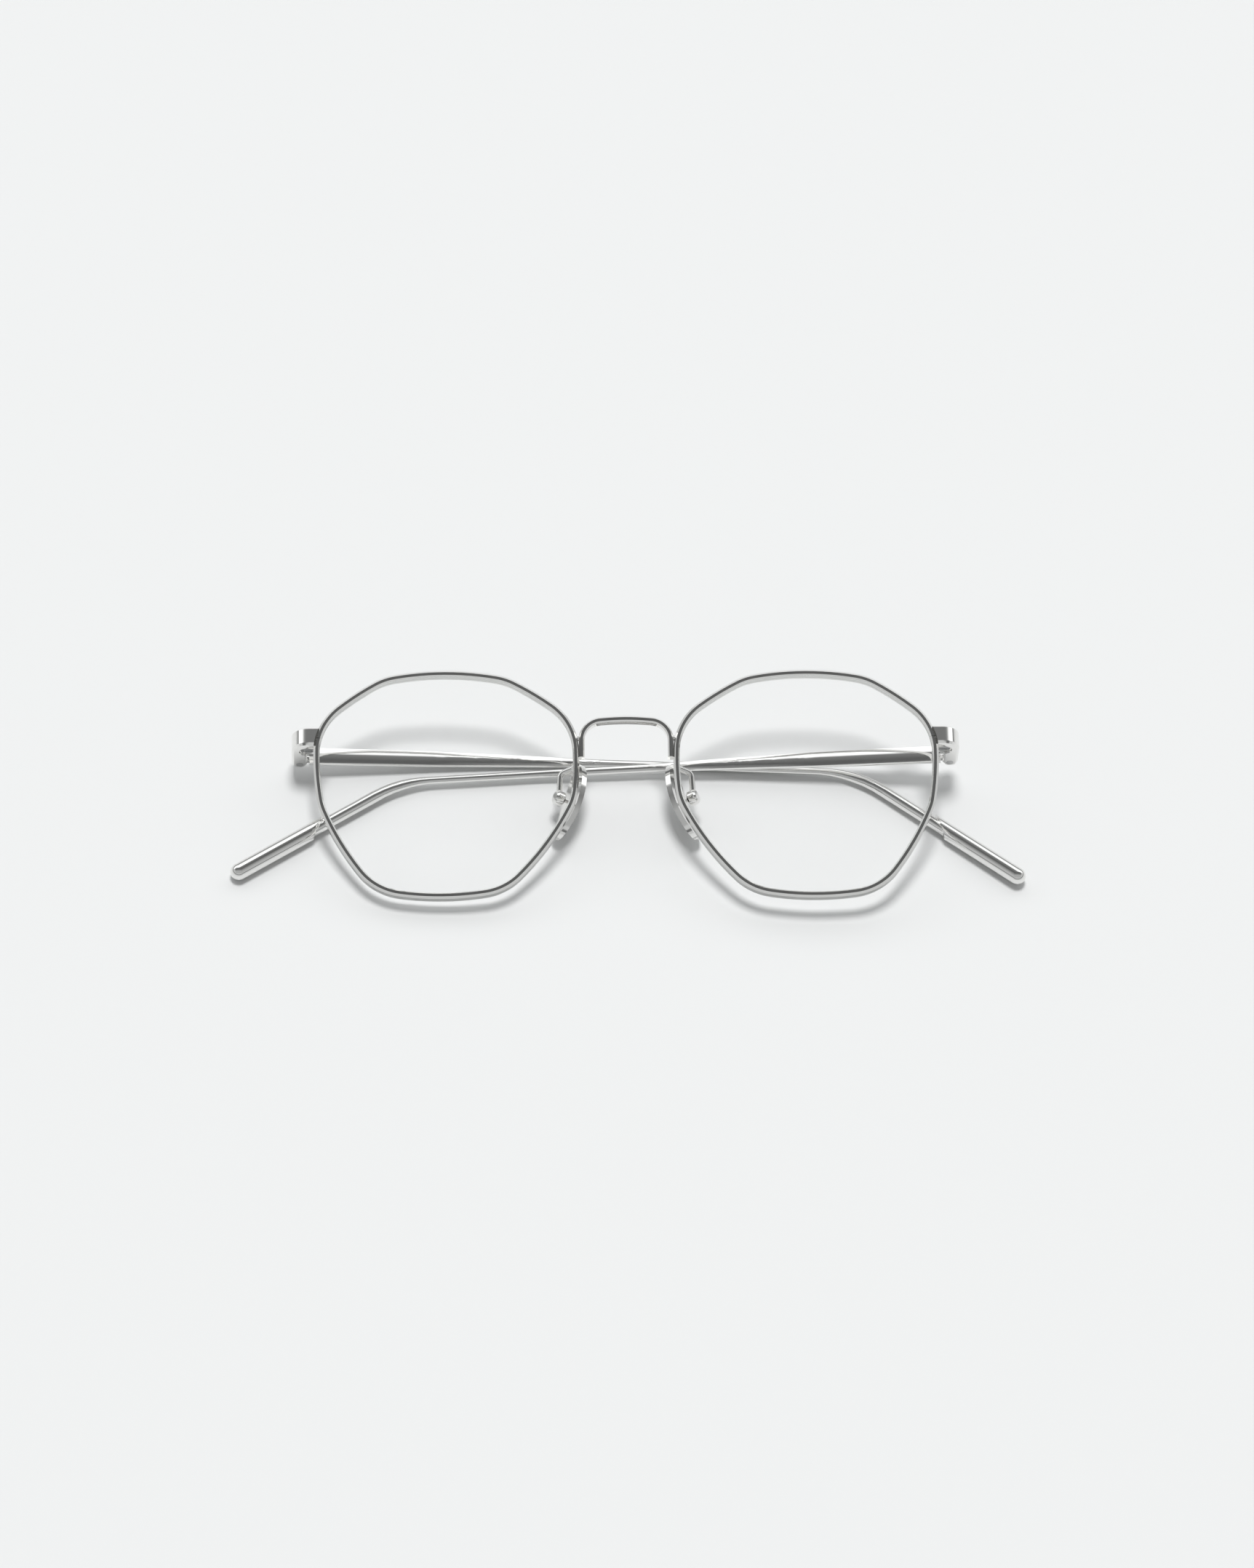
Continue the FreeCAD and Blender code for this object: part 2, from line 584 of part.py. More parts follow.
def end_piece(name, side, envelope):
    """Bar that wraps back from the rim and ends in three hinge leaves."""
    body = new_body("EndPieceBar_" + name)
    plan = new_sketch(body, "EndPiecePlan_" + name, "XZ_Plane")
    inner = -size.end_piece_reach
    outer = size.outer_wall
    front = size.end_piece_front
    leaf_back = front - size.end_piece_leaf
    rear = -size.barrel_radius
    inner_wall = -size.barrel_radius
    points = [Vector(side * across, forward) for across, forward in (
        (inner, front), (outer, front), (outer, rear), (inner_wall, rear),
        (inner_wall, leaf_back), (inner, leaf_back))]
    turn = size.end_piece_corner
    tight = size.barrel_radius
    radii = [0, turn, tight, tight, size.end_piece_leaf / 2, 0]
    plan.addGeometry(rounded_run(points, radii, closed=True), False)
    doc.recompute()
    pad = body.newObject("PartDesign::Pad", "EndPiecePad_" + name)
    pad.Profile = plan
    pad.SideType = "Symmetric"
    bind(pad, Length="Sizes.end_piece_height")
    doc.recompute()
    level = size.end_piece_height / 2
    names = ["Edge%d" % number for number, edge in enumerate(pad.Shape.Edges, 1)
             if all(abs(abs(vertex.Y) - level) < 1e-6 for vertex in edge.Vertexes)]
    bevels = body.newObject("PartDesign::Chamfer", "EndPieceBevels_" + name)
    bevels.Base = (pad, names)
    bind(bevels, Size="Sizes.end_piece_bevel")
    body.Tip = bevels
    body.Placement = hinge_frame(side)
    tools = tongue_slots(name, side)
    top = size.end_piece_height / 2
    tools.append(cylinder("PivotBore_" + name,
                          "Sizes.hinge_screw_radius + Sizes.screw_clearance",
                          "Sizes.end_piece_height + Sizes.hinge_head_height",
                          along_pivot(side, -top - size.hinge_head_height / 2)))
    tools.append(cylinder("PivotHeadBore_" + name,
                          "Sizes.hinge_head_radius + Sizes.screw_clearance",
                          "Sizes.hinge_head_height + Sizes.end_piece_bevel",
                          along_pivot(side, top - size.hinge_head_height)))
    tools.append(lock_form("Seat_" + name, side, size.lock_split_y,
                           "2 * Sizes.end_piece_height"))
    tools.append(lock_form("Room_" + name, side, size.lock_split_y - 2 * size.end_piece_height,
                           "2 * Sizes.end_piece_height + Sizes.lock_gap / 2",
                           "Sizes.lock_gap"))
    tools.append(envelope)
    keep("end_piece_" + name, cut("EndPiece_" + name, body, fuse("EndPieceCuts_" + name, tools)))


def lock_blocks(name, side, envelope):
    """Both halves of the closing barrel: the upper threaded, the lower bored for the head."""
    upper_foot = size.lock_split_y + size.lock_gap / 2
    upper = lock_form("Upper_" + name, side, upper_foot,
                      "Sizes.lock_upper_length - Sizes.lock_gap / 2")
    thread = cylinder("LockThread_" + name, "Sizes.lock_screw_radius + Sizes.thread_fit",
                      "Sizes.lock_upper_length", along_lock(side, upper_foot))
    upper_cuts = fuse("LockUpperCuts_" + name, [thread, envelope])
    keep("lock_block_upper_" + name, cut("LockUpper_" + name, upper, upper_cuts))
    lower_foot = size.lock_split_y - size.lock_lower_length
    lower = lock_form("Lower_" + name, side, lower_foot,
                      "Sizes.lock_lower_length - Sizes.lock_gap / 2")
    passage = cylinder("LockPassage_" + name, "Sizes.lock_screw_radius + Sizes.screw_clearance",
                       "Sizes.lock_lower_length", along_lock(side, lower_foot))
    head = cylinder("LockHeadBore_" + name, "Sizes.lock_head_radius + Sizes.screw_clearance",
                    "Sizes.lock_head_height", along_lock(side, lower_foot))
    lower_cuts = fuse("LockLowerCuts_" + name, [passage, head, envelope])
    keep("lock_block_lower_" + name, cut("LockLower_" + name, lower, lower_cuts))


def screw(node, shank, shank_length, head, head_height, frame):
    """Slotted screw about its frame's Z, with the head's underside at the origin."""
    body = new_body("Screw_" + node)
    profile = new_sketch(body, "ScrewProfile_" + node, "XZ_Plane")
    driven_polygon(profile, [("0", "-(%s)" % shank_length), (shank, "-(%s)" % shank_length),
                             (shank, "0"), (head, "0"), (head, head_height), ("0", head_height)])
    doc.recompute()
    revolved(body, profile, "ScrewTurned_" + node)
    doc.recompute()
    slot = new_sketch(body, "ScrewSlot_" + node, "XY_Plane")
    bind(slot, **{"AttachmentOffset.Base.z": head_height})
    half = "Sizes.driver_slot_width / 2"
    driven_polygon(slot, [("-(%s)" % head, "-(%s)" % half), (head, "-(%s)" % half),
                          (head, half), ("-(%s)" % head, half)])
    doc.recompute()
    pocket = body.newObject("PartDesign::Pocket", "ScrewDriverSlot_" + node)
    pocket.Profile = slot
    bind(pocket, Length="Sizes.driver_slot_depth")
    body.Tip = pocket
    keep(node, body, frame)


def screws(name, side):
    pivot_head = along_pivot(side, size.end_piece_height / 2 - size.hinge_head_height)
    screw("hinge_screw_" + name, "Sizes.hinge_screw_radius",
          "Sizes.end_piece_height - Sizes.hinge_head_height",
          "Sizes.hinge_head_radius", "Sizes.hinge_head_height", pivot_head)
    lower_end = size.lock_split_y - size.lock_lower_length
    head_down = along_lock(side, lower_end + size.lock_head_height)
    head_down = head_down.multiply(Placement(Vector(), Rotation(Vector(1, 0, 0), 180)))
    screw("lock_screw_" + name, "Sizes.lock_screw_radius",
          "Sizes.lock_lower_length + Sizes.lock_upper_length - Sizes.lock_head_height",
          "Sizes.lock_head_radius", "Sizes.lock_head_height", head_down)


# The temple, drawn along its own X away from the pivot

def oval(side, along, fall, heading, height, thickness):
    """Section of the temple: crowned faces and round edges, square to the middle line."""
    place = temple_point(side, along, fall)
    diagonal = math.sqrt(0.5)
    edge_across = diagonal * thickness / 2
    edge_up = height / 2 - (1 - diagonal) * thickness / 2
    up = Vector(-side * math.sin(heading), math.cos(heading), 0)
    out = up.cross(middle_direction(side, along, heading)).normalize() * side

    def at(across, rise):
        return place + up * rise + out * across

    faces = [(at(edge_across, -edge_up), at(thickness / 2, 0), at(edge_across, edge_up)),
             (at(edge_across, edge_up), at(0, height / 2), at(-edge_across, edge_up)),
             (at(-edge_across, edge_up), at(-thickness / 2, 0), at(-edge_across, -edge_up)),
             (at(-edge_across, -edge_up), at(0, -height / 2), at(edge_across, -edge_up))]
    arcs = [Part.Arc(*points).toShape() for points in faces]
    return Part.Wire(arcs if side > 0 else arcs[::-1])


def temple_point(side, along, fall):
    """A point of the middle line: along from the pivot, fallen, and bowed towards the head."""
    bow = along ** 2 / (2 * size.temple_bow_radius)
    return Vector(-side * along, -fall, bow)


def middle_direction(side, along, heading):
    """Unit direction of the middle line, away from the pivot."""
    bow_slope = along / size.temple_bow_radius
    return Vector(-side * math.cos(heading), -math.sin(heading), bow_slope).normalize()


def temple_stations(side):
    """Distance, fall, heading, height and thickness of each section, from shoulder to bend end."""
    drop = size.temple_drop_left if side > 0 else size.temple_drop_right
    last_heading = math.radians(size.bend_angle_left if side > 0 else size.bend_angle_right)
    strip = [
        (size.temple_shoulder, size.temple_root_height, size.temple_root_thickness),
        (size.temple_broad_end, size.temple_broad_height, size.temple_strip_thickness),
        ((size.temple_broad_end + size.temple_taper_end) / 2,
         (size.temple_broad_height + size.temple_slim_height) / 2, size.temple_strip_thickness),
        (size.temple_taper_end, size.temple_slim_height, size.temple_strip_thickness),
        ((size.temple_taper_end + size.bend_start) / 2,
         (size.temple_slim_height + size.temple_neck_height) / 2, size.temple_strip_thickness),
        (size.bend_start, size.temple_neck_height, size.temple_strip_thickness),
    ]
    stations = []
    for along, height, thickness in strip:
        share = along / size.bend_start
        fall = drop * share - 4 * size.temple_arch * share * (1 - share)
        slope = (drop - 4 * size.temple_arch * (1 - 2 * share)) / size.bend_start
        stations.append((along, fall, math.atan(slope), height, thickness))
    first_heading = stations[-1][2]
    for step in range(1, BEND_STEPS + 1):
        share = step / BEND_STEPS
        heading = first_heading + (last_heading - first_heading) * share
        along = size.bend_start + size.bend_radius * (math.sin(heading) - math.sin(first_heading))
        fall = drop + size.bend_radius * (math.cos(first_heading) - math.cos(heading))
        stations.append((along, fall, heading,
                         between(size.temple_neck_height, size.bend_height, share),
                         between(size.temple_strip_thickness, size.bend_thickness, share)))
    return stations


def between(start, middle, share):
    """Size in the bend, from its start by way of its middle to the round wire at its end."""
    end = 2 * size.wire_radius
    if share < 0.5:
        return start + (middle - start) * 2 * share
    return middle + (end - middle) * (2 * share - 1)


def wire_end(side):
    """Start, end and unit direction of the straight wire behind the bend."""
    along, fall, heading, _, _ = temple_stations(side)[-1]
    start = temple_point(side, along, fall)
    direction_back = middle_direction(side, along, heading)
    return start, start + direction_back * size.temple_end, direction_back


def temple_frame(side, fold):
    """Hinge frame turned by the fold, so that the temple points across the back of the front."""
    return hinge_frame(side).multiply(
        Placement(Vector(), Rotation(Vector(0, 1, 0), -side * fold)))


def temple(name, side, fold):
    """Flat tapered temple with two tongues for the hinge and a round wire for the tip."""
    sections = [oval(side, *station) for station in temple_stations(side)]
    strip = shaped("TempleStrip_" + name, Part.makeLoft(sections, True, True))
    heading = wire_end(side)[2]
    length = size.temple_end - size.tip_length + size.tip_bore_depth
    wire = shaped("TempleWire_" + name, Part.Face(sections[-1]).extrude(heading * length))
    tongues = []
    bores = []
    for level, middle in (("upper", 1), ("lower", -1)):
        foot = middle * size.tongue_pitch / 2 - size.tongue_height / 2
        upright = Placement(Vector(0, foot, 0), Rotation(Vector(1, 0, 0), -90))
        tongues.append(cylinder("TongueRound_%s_%s" % (level, name), "Sizes.tongue_radius",
                                "Sizes.tongue_height", upright))
        overlap = size.temple_shoulder + size.tongue_neck
        corner = Vector(-overlap if side > 0 else 0, foot, -size.tongue_neck / 2)
        tongues.append(block("TongueNeck_%s_%s" % (level, name),
                             "Sizes.temple_shoulder + Sizes.tongue_neck", "Sizes.tongue_height",
                             "Sizes.tongue_neck", Placement(corner, Rotation())))
        bores.append(cylinder("TongueBore_%s_%s" % (level, name),
                              "Sizes.hinge_screw_radius + Sizes.screw_clearance",
                              "Sizes.tongue_height", upright))
    whole = fuse("TempleWhole_" + name, [strip, wire] + tongues)
    keep("temple_" + name, cut("Temple_" + name, whole, fuse("TempleBores_" + name, bores)),
         temple_frame(side, fold))


def temple_tip(name, side, fold):
    """Round sleeve with a ball end, bored for the wire and cut slantwise at its start."""
    _, end, heading = wire_end(side)
    start = end - heading * size.tip_length
    up = Vector(side * heading.y, -side * heading.x, 0) * -1
    frame = Placement(start, Rotation(heading, up, heading.cross(up), "XYZ"))
    axis = Rotation(Vector(0, 0, 1), Vector(1, 0, 0))
    sleeve = cylinder("TipSleeve_" + name, "Sizes.tip_radius", "Sizes.tip_length",
                      frame.multiply(Placement(Vector(), axis)))
    round_end = ball("TipEnd_" + name, "Sizes.tip_radius", end)
    bore = cylinder("TipBore_" + name, "Sizes.wire_radius + Sizes.tip_fit",
                    "Sizes.tip_bore_depth", frame.multiply(Placement(Vector(), axis)))
    slant = math.atan2(2 * size.tip_radius, size.tip_cut_length)
    corner = Placement(Vector(0, -size.tip_radius, -size.tip_radius), Rotation())
    tilt = Placement(Vector(), Rotation(Vector(0, 0, 1), math.degrees(slant)))
    wedge = block("TipSlant_" + name, "2 * Sizes.tip_cut_length", "Sizes.tip_cut_length",
                  "2 * Sizes.tip_radius", frame.multiply(corner).multiply(tilt))
    whole = fuse("TipWhole_" + name, [sleeve, round_end])
    keep("temple_tip_" + name, cut("Tip_" + name, whole, fuse("TipCuts_" + name, [bore, wedge])),
         temple_frame(side, fold))


# Nose pads and what carries them

def pad_frame(side):
    """Frame in the pad's ball: X across the plate, Y along it, Z towards the nose."""
    frontal = math.radians(size.pad_frontal_angle)
    splay = math.radians(size.pad_splay_angle)
    along = Vector(-side * math.sin(frontal), math.cos(frontal), 0)
    inwards = Vector(-side * math.cos(splay) * math.cos(frontal),
                     -math.cos(splay) * math.sin(frontal), -math.sin(splay))
    place = Vector(side * nose_side(size.pad_inset), size.pad_y, -size.pad_depth)
    return Placement(place, Rotation(along.cross(inwards), along, inwards, "XYZ"))


def pad_arm(name, side):
    """Wire from the rim's back to the cup, straight runs joined by bends."""
    foot = Vector(side * nose_side(size.arm_foot_inset), size.arm_foot_y, -size.rim_depth)
    back = foot - Vector(0, 0, size.arm_reach)
    elbow = Vector(side * nose_side(size.arm_elbow_inset), size.arm_elbow_y, -size.pad_depth)
    cup = Vector(side * nose_side(size.pad_inset), size.pad_y, -size.pad_depth)
    path = rounded_run([foot, back, elbow, cup], [0, size.arm_bend, size.arm_bend, 0])
    spine = Part.Wire([piece.toShape() for piece in path])
    section = Part.Wire(Part.makeCircle(size.arm_radius, foot, Vector(0, 0, -1)))
    wire = shaped("ArmWire_" + name, spine.makePipeShell([section], True, False))
    foot_of_cup = Placement(Vector(0, 0, -size.cup_half_height), Rotation())
    clear = cylinder("ArmTrim_" + name, "Sizes.cup_radius", "2 * Sizes.cup_half_height",
                     pad_frame(side).multiply(foot_of_cup))
    keep("pad_arm_" + name, cut("Arm_" + name, wire, clear))


def pad_cup(name, side):
    """Round cup turned in one piece, hollow for the pad's ball and open towards the pad."""
    body = new_body("Cup_" + name)
    profile = new_sketch(body, "CupProfile_" + name, "XZ_Plane")
    outside = "Sizes.cup_radius"
    end = "Sizes.cup_half_height"
    bevel = "Sizes.cup_bevel"
    room = "Sizes.pad_ball_radius + Sizes.cup_clearance"
    mouth = "Sizes.cup_mouth_radius"
    driven_polygon(profile, [
        ("0", "-(%s)" % end), ("%s - %s" % (outside, bevel), "-(%s)" % end),
        (outside, "-(%s) + %s" % (end, bevel)), (outside, "%s - %s" % (end, bevel)),
        ("%s - %s" % (outside, bevel), end), (mouth, end),
        (mouth, "Sizes.cup_lip_start"), (room, "Sizes.cup_lip_start - (%s - %s)" % (room, mouth)),
        (room, "-(%s)" % room), ("0", "-(%s)" % room)])
    doc.recompute()
    body.Tip = revolved(body, profile, "CupTurned_" + name)
    keep("pad_cup_" + name, body, pad_frame(side))


def nose_pad(name, side):
    """Oval bowed plate on a stem, with the ball that sits in the cup."""
    rim_line = doc.addObject("Part::Ellipse", "PadOutline_" + name)
    bind(rim_line, MajorRadius="Sizes.pad_half_length", MinorRadius="Sizes.pad_half_width")
    rim_line.Placement = Placement(Vector(), Rotation(Vector(0, 0, 1), 90))
    prism = doc.addObject("Part::Extrusion", "PadPrism_" + name)
    prism.Base = rim_line
    prism.DirMode = "Custom"
    prism.Dir = Vector(0, 0, 1)
    prism.Solid = True
    bind(prism, LengthFwd="2 * (Sizes.pad_standoff + Sizes.pad_thickness)")
    crest = size.pad_standoff + size.pad_thickness
    centre = Vector(0, 0, crest - size.pad_dome_radius)
    outer = ball("PadFace_" + name, "Sizes.pad_dome_radius", centre)
    inner = ball("PadBack_" + name, "Sizes.pad_dome_radius - Sizes.pad_thickness", centre)
    skin = cut("PadSkin_" + name, outer, inner)
    plate = doc.addObject("Part::Common", "PadPlate_" + name)
    plate.Base = prism
    plate.Tool = skin
    stem = cylinder("PadStem_" + name, "Sizes.pad_stem_radius",
                    "Sizes.pad_standoff + Sizes.pad_thickness / 2", Placement())
    knob = ball("PadBall_" + name, "Sizes.pad_ball_radius", Vector())
    keep("nose_pad_" + name, fuse("NosePad_" + name, [plate, stem, knob]), pad_frame(side))


# The whole pair, laid down

def lay_down():
    """Tilt and roll the front frame to the resting pose, then centre it on the table."""
    tilt = Rotation(Vector(1, 0, 0), size.rest_tilt)
    roll = Rotation(Vector(0, 1, 0), -size.rest_roll)
    lying = Placement(Vector(), roll.multiply(tilt))
    for name, thing in nodes.items():
        thing.Placement = lying.multiply(frames[name])
    doc.recompute()
    bounds = FreeCAD.BoundBox()
    for thing in nodes.values():
        bounds.add(thing.Shape.optimalBoundingBox(False, False))
    shift = Placement(Vector(-bounds.Center.x, -bounds.Center.y, -bounds.ZMin), Rotation())
    lying = shift.multiply(lying)
    for name, thing in nodes.items():
        thing.Placement = lying.multiply(frames[name])
    doc.recompute()
    return lying


def check():
    """Stop before anything is written if an object failed or a piece is no valid solid."""
    for thing in doc.Objects:
        if "Invalid" in thing.State or "Error" in thing.State:
            raise RuntimeError("%s failed: %s" % (thing.Name, thing.State))
    for name, thing in nodes.items():
        if thing.Shape.isNull() or not thing.Shape.isValid() or not thing.Shape.Solids:
            raise RuntimeError("%s has no valid solid" % name)


size = read_sizes()
rim_spaces = {name: rim_envelope(name, side) for name, side in SIDES.items()}
folds = {"left": size.fold_left, "right": size.fold_right}
for hand, hand_side in SIDES.items():
    rim(hand, hand_side)
    lens(hand, hand_side)
    end_piece(hand, hand_side, rim_spaces[hand])
    lock_blocks(hand, hand_side, rim_spaces[hand])
    screws(hand, hand_side)
    temple(hand, hand_side, folds[hand])
    temple_tip(hand, hand_side, folds[hand])
    pad_arm(hand, hand_side)
    pad_cup(hand, hand_side)
    nose_pad(hand, hand_side)
bridge(list(rim_spaces.values()))
doc.recompute()
resting = lay_down()
check()

os.makedirs("parts", exist_ok=True)
for node, thing in nodes.items():
    thing.Shape.exportStep("parts/%s.step" % node)
    print(node, round(thing.Shape.Volume, 2), len(thing.Shape.Solids))
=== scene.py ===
import math

import bpy
from mathutils import Matrix, Vector

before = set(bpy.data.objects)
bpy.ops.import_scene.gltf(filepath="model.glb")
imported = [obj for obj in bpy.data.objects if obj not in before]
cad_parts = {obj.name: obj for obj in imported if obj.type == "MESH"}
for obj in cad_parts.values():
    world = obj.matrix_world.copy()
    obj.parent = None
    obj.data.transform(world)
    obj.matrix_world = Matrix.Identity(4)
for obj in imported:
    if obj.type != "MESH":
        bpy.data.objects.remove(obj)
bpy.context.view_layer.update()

MM = 0.001


def new_material(name):
    """A node material with its Principled shader, ready to be set."""
    material = bpy.data.materials.new(name)
    material.use_nodes = True
    return material, material.node_tree, material.node_tree.nodes["Principled BSDF"]


# Unevenness that hand polishing leaves: cells per metre, height in metres.
POLISH_SCALE = 900.0
POLISH_HEIGHT = 2e-6
POLISH_STRENGTH = 0.25
POLISH_DETAIL = 3.0


def polish_noise(tree, shader):
    """Faint unevenness of a polished surface; gives back its noise node."""
    place = tree.nodes.new("ShaderNodeTexCoord")
    noise = tree.nodes.new("ShaderNodeTexNoise")
    noise.inputs["Scale"].default_value = POLISH_SCALE
    noise.inputs["Detail"].default_value = POLISH_DETAIL
    bump = tree.nodes.new("ShaderNodeBump")
    bump.inputs["Distance"].default_value = POLISH_HEIGHT
    bump.inputs["Strength"].default_value = POLISH_STRENGTH
    tree.links.new(place.outputs["Object"], noise.inputs["Vector"])
    tree.links.new(noise.outputs["Fac"], bump.inputs["Height"])
    tree.links.new(bump.outputs["Normal"], shader.inputs["Normal"])
    return noise


def metal(name, colour, roughness, spread):
    """Polished metal whose roughness wanders a little about its middle value."""
    material, tree, shader = new_material(name)
    shader.inputs["Base Color"].default_value = (*colour, 1.0)
    shader.inputs["Metallic"].default_value = 1.0
    noise = polish_noise(tree, shader)
    wander = tree.nodes.new("ShaderNodeMapRange")
    wander.inputs["To Min"].default_value = roughness - spread
    wander.inputs["To Max"].default_value = roughness + spread
    tree.links.new(noise.outputs["Fac"], wander.inputs["Value"])
    tree.links.new(wander.outputs["Result"], shader.inputs["Roughness"])
    return material


# Lens: share of the light that it mirrors, face on and at the steepest slant.
LENS_FACE_ON = 0.006
LENS_SLANTED = 0.5
LENS_STEEPNESS = 5.0
LENS_ROUGHNESS = 0.02


def lens_glass(name, tint):
    """Thin clear lens: it mirrors a little face on and more at a slant, and lets the rest through."""
    material, tree, shader = new_material(name)
    shader.inputs["Base Color"].default_value = (*tint, 1.0)
    shader.inputs["Metallic"].default_value = 1.0
    shader.inputs["Roughness"].default_value = LENS_ROUGHNESS
    slant = tree.nodes.new("ShaderNodeLayerWeight")
    slant.inputs["Blend"].default_value = 0.5
    steep = tree.nodes.new("ShaderNodeMath")
    steep.operation = "POWER"
    steep.inputs[1].default_value = LENS_STEEPNESS
    cover = tree.nodes.new("ShaderNodeMapRange")
    cover.inputs["To Min"].default_value = LENS_FACE_ON
    cover.inputs["To Max"].default_value = LENS_SLANTED
    tree.links.new(slant.outputs["Facing"], steep.inputs[0])
    tree.links.new(steep.outputs["Value"], cover.inputs["Value"])
    tree.links.new(cover.outputs["Result"], shader.inputs["Alpha"])
    return material


silver = metal("polished_silver", (0.86, 0.855, 0.84), 0.055, 0.012)
tip_silver = metal("tip_silver", (0.86, 0.855, 0.84), 0.05, 0.01)
pad_silver = metal("pad_silver", (0.84, 0.835, 0.82), 0.07, 0.015)
screw_steel = metal("screw_steel", (0.60, 0.60, 0.60), 0.22, 0.05)
glass = lens_glass("lens_glass", (0.95, 1.0, 0.99))

# A node takes the finish of the name that it starts with, and otherwise plain silver.
FINISHES = (
    ("lens", glass),
    ("nose_pad", pad_silver),
    ("temple_tip", tip_silver),
    ("hinge_screw", screw_steel),
    ("lock_screw", screw_steel),
)

for node_name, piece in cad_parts.items():
    finish = silver
    for start, material in FINISHES:
        if node_name.startswith(start):
            finish = material
    for slot in piece.material_slots:
        slot.material = finish

# Camera: the photograph's viewing angles in degrees, and where the aim lands in its pixels.
CAMERA_DISTANCE = 1.6
CAMERA_ELEVATION = 54.97
CAMERA_AZIMUTH = -5.02
CAMERA_ROLL = 4.72
PIXELS_PER_METRE = 7216.0
PICTURE_WIDTH = 1724
PICTURE_HEIGHT = 2156
CENTRE_X = 865.0
CENTRE_Y = 1083.7
SENSOR = 36.0
CLIP_START = 0.01
CLIP_END = 20.0
AIM = Vector((0.0, 0.0, 9.0 * MM))

elevation = math.radians(CAMERA_ELEVATION)
azimuth = math.radians(CAMERA_AZIMUTH)
roll = math.radians(CAMERA_ROLL)
back = Vector((
    math.sin(azimuth) * math.cos(elevation),
    -math.cos(azimuth) * math.cos(elevation),
    math.sin(elevation),
))
level = Vector((0.0, 0.0, 1.0)).cross(back).normalized()
upright = back.cross(level)
right = math.cos(roll) * level + math.sin(roll) * upright
up = math.cos(roll) * upright - math.sin(roll) * level

camera_data = bpy.data.cameras.new("camera")
camera_data.sensor_width = SENSOR
camera_data.lens = SENSOR * CAMERA_DISTANCE * PIXELS_PER_METRE / PICTURE_HEIGHT
camera_data.clip_start = CLIP_START
camera_data.clip_end = CLIP_END
camera = bpy.data.objects.new("camera", camera_data)
side_step = (CENTRE_X - PICTURE_WIDTH / 2) / PIXELS_PER_METRE
rise = (CENTRE_Y - PICTURE_HEIGHT / 2) / PIXELS_PER_METRE
place = AIM + back * CAMERA_DISTANCE - right * side_step + up * rise
camera.matrix_world = Matrix((
    (right.x, up.x, back.x, place.x),
    (right.y, up.y, back.y, place.y),
    (right.z, up.z, back.z, place.z),
    (0.0, 0.0, 0.0, 1.0),
))
bpy.context.scene.collection.objects.link(camera)
bpy.context.scene.camera = camera

# Floor: one pale sheet, a little glossy, under everything.
FLOOR_HALF = 3.0
FLOOR_COLOUR = (0.69, 0.695, 0.695, 1.0)
FLOOR_ROUGHNESS = 0.35
FLOOR_IOR = 1.35
floor_mesh = bpy.data.meshes.new("floor")
floor_mesh.from_pydata(
    [(-FLOOR_HALF, -FLOOR_HALF, 0.0), (FLOOR_HALF, -FLOOR_HALF, 0.0),
     (FLOOR_HALF, FLOOR_HALF, 0.0), (-FLOOR_HALF, FLOOR_HALF, 0.0)],
    [], [(0, 1, 2, 3)],
)
floor = bpy.data.objects.new("floor", floor_mesh)
bpy.context.scene.collection.objects.link(floor)
floor_material, _, floor_shader = new_material("pale_floor")
floor_shader.inputs["Base Color"].default_value = FLOOR_COLOUR
floor_shader.inputs["Roughness"].default_value = FLOOR_ROUGHNESS
floor_shader.inputs["IOR"].default_value = FLOOR_IOR
floor_mesh.materials.append(floor_material)

# World: a pale room with a dark ceiling over the table, a softbox behind it and a dark band low
# on the walls. Leans are degrees from the zenith towards +Y, heights are degrees above the floor.
CEILING_BACK = 25.0
CEILING_FRONT = -58.0
CEILING_SIDE = 50.0
CEILING_BLEND = 3.0
CEILING_SIDE_BLEND = 12.0
CEILING_TONE = 0.11
CEILING_DARKEST = 3.0
CEILING_RISE_FRONT = 0.012
CEILING_RISE_BACK = 0.005
CEILING_PALEST = 0.45
ROOM_TONE = 0.62
ROOM_COLOUR = (0.985, 1.0, 1.0, 1.0)
SOFTBOX_LEAN = 43.0
SOFTBOX_HALF = 15.0
SOFTBOX_WIDE = 60.0
SOFTBOX_BLEND = 3.0
SOFTBOX_TONE = 1.4
BAND_TOP = 19.0
BAND_BOTTOM = 11.0
BAND_BLEND = 2.0
BAND_TONE = 0.16

world = bpy.data.worlds.new("studio")
bpy.context.scene.world = world
world.use_nodes = True
sky = world.node_tree
where = sky.nodes.new("ShaderNodeTexCoord")


def sky_math(operation, first, second=None, third=None):
    """One step of arithmetic in the sky: links where a socket is given, else a number."""
    node = sky.nodes.new("ShaderNodeMath")
    node.operation = operation
    for place, value in enumerate((first, second, third)):
        if value is None:
            continue
        if isinstance(value, (int, float)):
            node.inputs[place].default_value = value
        else:
            sky.links.new(value, node.inputs[place])
    return node.outputs["Value"]


def sky_step(value, edge, blend):
    """0 below the edge and 1 above it, with a soft passage as wide as blend on each side."""
    node = sky.nodes.new("ShaderNodeMapRange")
    node.interpolation_type = "SMOOTHSTEP"
    node.inputs["From Min"].default_value = edge - blend
    node.inputs["From Max"].default_value = edge + blend
    sky.links.new(value, node.inputs["Value"])
    return node.outputs["Result"]


def sky_below(value, edge, blend):
    """1 below the edge and 0 above it."""
    return sky_math("SUBTRACT", 1.0, sky_step(value, edge, blend))


def sky_between(value, low, high, blend):
    """1 between two angles and 0 outside them, with soft ends."""
    return sky_math("MULTIPLY", sky_step(value, low, blend), sky_below(value, high, blend))


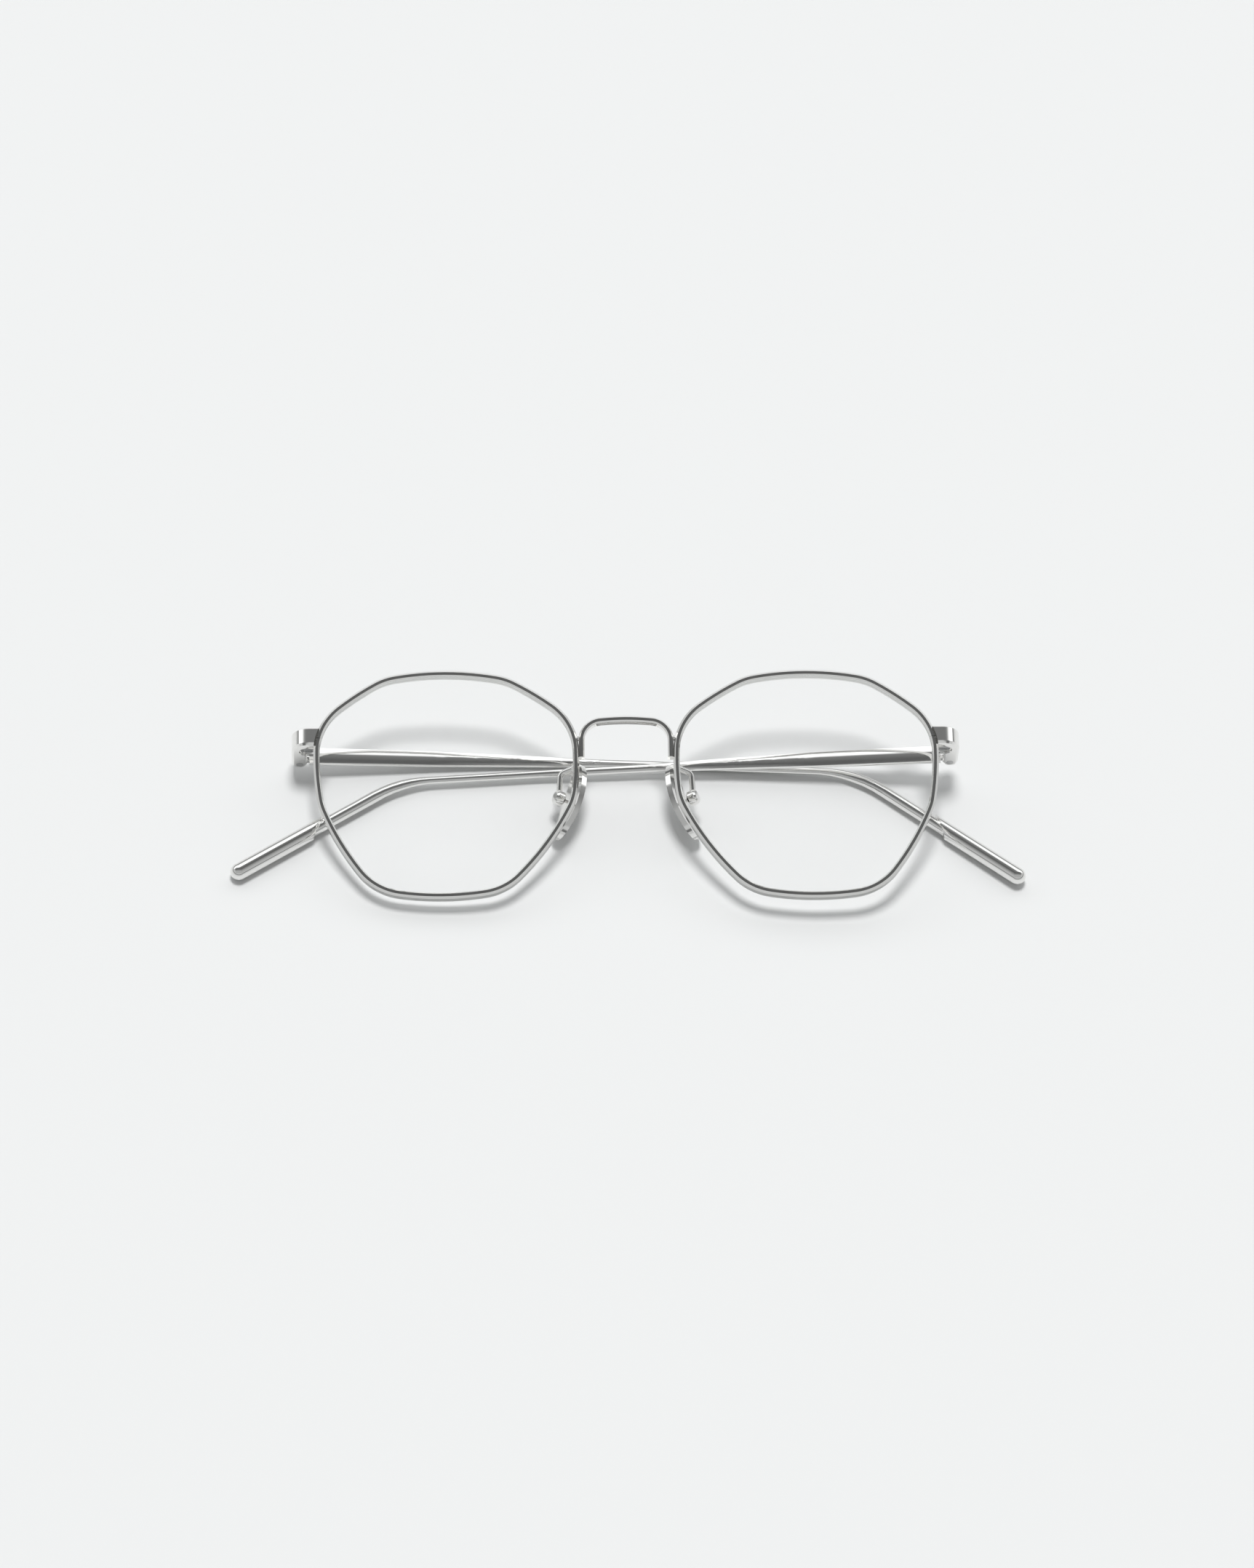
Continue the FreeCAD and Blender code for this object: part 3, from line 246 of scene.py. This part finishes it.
def sky_degrees(radians):
    """An angle of the sky in degrees."""
    return sky_math("MULTIPLY", radians, math.degrees(1.0))


axes = sky.nodes.new("ShaderNodeSeparateXYZ")
sky.links.new(where.outputs["Generated"], axes.inputs["Vector"])
lean_back = sky_degrees(sky_math("ARCTAN2", axes.outputs["Y"], axes.outputs["Z"]))
lean_aside = sky_math("ABSOLUTE", sky_degrees(sky_math("ARCSINE", axes.outputs["X"])))
height = sky_degrees(sky_math("ARCSINE", axes.outputs["Z"]))
ceiling = sky_between(lean_back, CEILING_FRONT, CEILING_BACK, CEILING_BLEND)
ceiling = sky_math("MULTIPLY", ceiling, sky_below(lean_aside, CEILING_SIDE, CEILING_SIDE_BLEND))
off_darkest = sky_math("SUBTRACT", lean_back, CEILING_DARKEST)
rise_back = sky_math("MULTIPLY", off_darkest, CEILING_RISE_BACK)
rise_front = sky_math("MULTIPLY", off_darkest, -CEILING_RISE_FRONT)
ceiling_tone = sky_math("ADD", sky_math("MAXIMUM", rise_back, rise_front), CEILING_TONE)
ceiling_tone = sky_math("MINIMUM", ceiling_tone, CEILING_PALEST)
softbox = sky_between(lean_back, SOFTBOX_LEAN - SOFTBOX_HALF, SOFTBOX_LEAN + SOFTBOX_HALF,
                      SOFTBOX_BLEND)
softbox = sky_math("MULTIPLY", softbox, sky_below(lean_aside, SOFTBOX_WIDE, SOFTBOX_BLEND))
room = sky_math("MULTIPLY_ADD", softbox, SOFTBOX_TONE - ROOM_TONE, ROOM_TONE)
band = sky_between(height, BAND_BOTTOM, BAND_TOP, BAND_BLEND)
room = sky_math("MULTIPLY_ADD", band, sky_math("SUBTRACT", BAND_TONE, room), room)
darker = sky_math("SUBTRACT", ceiling_tone, room)
tone = sky_math("MULTIPLY_ADD", ceiling, darker, room)
background = sky.nodes["Background"]
background.inputs["Color"].default_value = ROOM_COLOUR
sky.links.new(tone, background.inputs["Strength"])

# Key light: soft and high, from behind, for the shadows on the floor. It has no reflection of its own.
KEY_ELEVATION = 78.0
KEY_SPREAD = 18.0
KEY_STRENGTH = 2.34
key_data = bpy.data.lights.new("key", "SUN")
key_data.energy = KEY_STRENGTH
key_data.angle = math.radians(KEY_SPREAD)
key = bpy.data.objects.new("key", key_data)
key.rotation_euler = (-math.radians(90.0 - KEY_ELEVATION), 0.0, 0.0)
key.visible_glossy = False
bpy.context.scene.collection.objects.link(key)

bpy.context.scene.view_settings.view_transform = "Standard"
